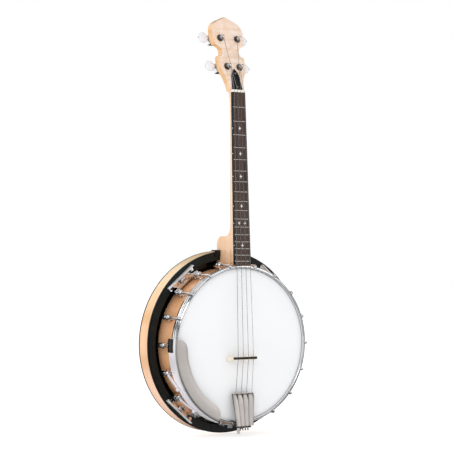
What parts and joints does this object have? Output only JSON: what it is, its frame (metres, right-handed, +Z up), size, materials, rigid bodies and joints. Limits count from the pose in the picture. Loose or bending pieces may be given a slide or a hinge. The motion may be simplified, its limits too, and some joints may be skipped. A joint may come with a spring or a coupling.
{
  "type": "resonator banjo",
  "caption": "Short-scale banjo with a round drum head under a clamped hoop, a removable wooden resonator, an armrest, a fingered tailpiece and geared tuners.",
  "frame": {"origin": "middle of the neck's depth just below the peghead, where a wall hanger's yoke holds the instrument", "axes": "+Z up the neck to the peghead, -Y out of the front of the head, +X to the viewer's right from the front"},
  "size_m": [0.3394, 0.1043, 0.7795],
  "materials": {
    "body_maple": "satin varnish",
    "side_maple": "gloss varnish",
    "back_maple": "gloss varnish",
    "flamed_maple": "gloss varnish, figured",
    "bridge_maple": "raw",
    "dark_rosewood": "oiled",
    "charcoal_satin": "satin",
    "black_plastic": "polished",
    "pearl": "pearlescent",
    "bone_white": "polished",
    "nickel_silver": "polished",
    "frosted_head": "frosted",
    "ring_brass": "plated",
    "bright_chrome": "mirror",
    "satin_nickel": "soft satin",
    "plain_steel": "bright",
    "button_pearl": "pearlescent"
  },
  "bodies": {
    "banjo": {"neck": "body_maple", "peghead_veneer": "flamed_maple", "fingerboard": "dark_rosewood", "fingerboard_binding": "black_plastic", "frets": "nickel_silver", "pearl_inlays": "pearl", "nut": "bone_white", "truss_rod": "plain_steel", "truss_rod_cover": "black_plastic", "peghead_screws": "bright_chrome", "neck_hanger_bolts": "plain_steel", "rim": "body_maple", "tone_ring": "ring_brass", "head_skin": "frosted_head", "head_collar": "frosted_head", "flesh_hoop": "bright_chrome", "tension_hoop": "bright_chrome", "bracket_hooks": "bright_chrome", "bracket_shoes": "bright_chrome", "shoe_bolts": "plain_steel", "bracket_nuts": "bright_chrome", "coordinator_rods": "plain_steel", "coordinator_nuts": "plain_steel", "bridge_base": "bridge_maple", "bridge_cap": "dark_rosewood", "tailpiece_frame": "satin_nickel", "tailpiece_fingers": "satin_nickel", "tailpiece_hinge_pin": "bright_chrome", "tailpiece_hanger": "bright_chrome", "tailpiece_adjuster": "bright_chrome", "armrest": "satin_nickel", "armrest_clamps": "bright_chrome", "armrest_pad": "black_plastic", "flange_brackets": "bright_chrome", "strings": "plain_steel", "tuner_housings": "bright_chrome", "tuner_bushings": "bright_chrome"},
    "resonator": {"resonator_back": "back_maple", "resonator_side": "side_maple", "resonator_front_ring": "charcoal_satin", "resonator_bindings": "black_plastic", "resonator_notch_trim": "black_plastic", "resonator_lugs": "plain_steel", "lug_screws": "plain_steel"},
    "thumbscrew_1": {"thumbscrew_1": "bright_chrome"},
    "thumbscrew_2": {"thumbscrew_2": "bright_chrome"},
    "thumbscrew_3": {"thumbscrew_3": "bright_chrome"},
    "thumbscrew_4": {"thumbscrew_4": "bright_chrome"},
    "tuner_button_1": {"tuner_button_1": "button_pearl", "worm_shaft_1": "bright_chrome"},
    "string_post_1": {"string_post_1": "bright_chrome"},
    "tuner_button_2": {"tuner_button_2": "button_pearl", "worm_shaft_2": "bright_chrome"},
    "string_post_2": {"string_post_2": "bright_chrome"},
    "tuner_button_3": {"tuner_button_3": "button_pearl", "worm_shaft_3": "bright_chrome"},
    "string_post_3": {"string_post_3": "bright_chrome"},
    "tuner_button_4": {"tuner_button_4": "button_pearl", "worm_shaft_4": "bright_chrome"},
    "string_post_4": {"string_post_4": "bright_chrome"}
  },
  "joints": [
    {"name": "resonator_removal", "type": "slide", "parent": "banjo", "child": "resonator", "axis": [0, 1, 0], "range_m": [0, 0.1]},
    {"name": "thumbscrew_1_travel", "type": "slide", "parent": "banjo", "child": "thumbscrew_1", "axis": [0, -1, 0], "range_m": [0, 0.009]},
    {"name": "thumbscrew_2_travel", "type": "slide", "parent": "banjo", "child": "thumbscrew_2", "axis": [0, -1, 0], "range_m": [0, 0.009]},
    {"name": "thumbscrew_3_travel", "type": "slide", "parent": "banjo", "child": "thumbscrew_3", "axis": [0, -1, 0], "range_m": [0, 0.009]},
    {"name": "thumbscrew_4_travel", "type": "slide", "parent": "banjo", "child": "thumbscrew_4", "axis": [0, -1, 0], "range_m": [0, 0.009]},
    {"name": "button_1_turn", "type": "hinge", "parent": "banjo", "child": "tuner_button_1", "pos_m": [-0.0454, 0.04206, 0.09407], "axis": [-1, 0, 0], "continuous": true},
    {"name": "post_1_turn", "type": "hinge", "parent": "banjo", "child": "string_post_1", "pos_m": [-0.019, 0.01732, 0.09466], "axis": [0, 0.9548, -0.2974], "continuous": true},
    {"name": "button_2_turn", "type": "hinge", "parent": "banjo", "child": "tuner_button_2", "pos_m": [0.0454, 0.04206, 0.09407], "axis": [1, 0, 0], "continuous": true},
    {"name": "post_2_turn", "type": "hinge", "parent": "banjo", "child": "string_post_2", "pos_m": [0.019, 0.01732, 0.09466], "axis": [0, 0.9548, -0.2974], "continuous": true},
    {"name": "button_3_turn", "type": "hinge", "parent": "banjo", "child": "tuner_button_3", "pos_m": [-0.0404, 0.02517, 0.03984], "axis": [-1, 0, 0], "continuous": true},
    {"name": "post_3_turn", "type": "hinge", "parent": "banjo", "child": "string_post_3", "pos_m": [-0.014, 0.00043, 0.04043], "axis": [0, 0.9548, -0.2974], "continuous": true},
    {"name": "button_4_turn", "type": "hinge", "parent": "banjo", "child": "tuner_button_4", "pos_m": [0.0404, 0.02517, 0.03984], "axis": [1, 0, 0], "continuous": true},
    {"name": "post_4_turn", "type": "hinge", "parent": "banjo", "child": "string_post_4", "pos_m": [0.014, 0.00043, 0.04043], "axis": [0, 0.9548, -0.2974], "continuous": true}
  ],
  "couplings": [
    {"joint": "post_1_turn", "follows": "button_1_turn", "ratio": -0.071429},
    {"joint": "post_2_turn", "follows": "button_2_turn", "ratio": 0.071429},
    {"joint": "post_3_turn", "follows": "button_3_turn", "ratio": -0.071429},
    {"joint": "post_4_turn", "follows": "button_4_turn", "ratio": 0.071429}
  ]
}
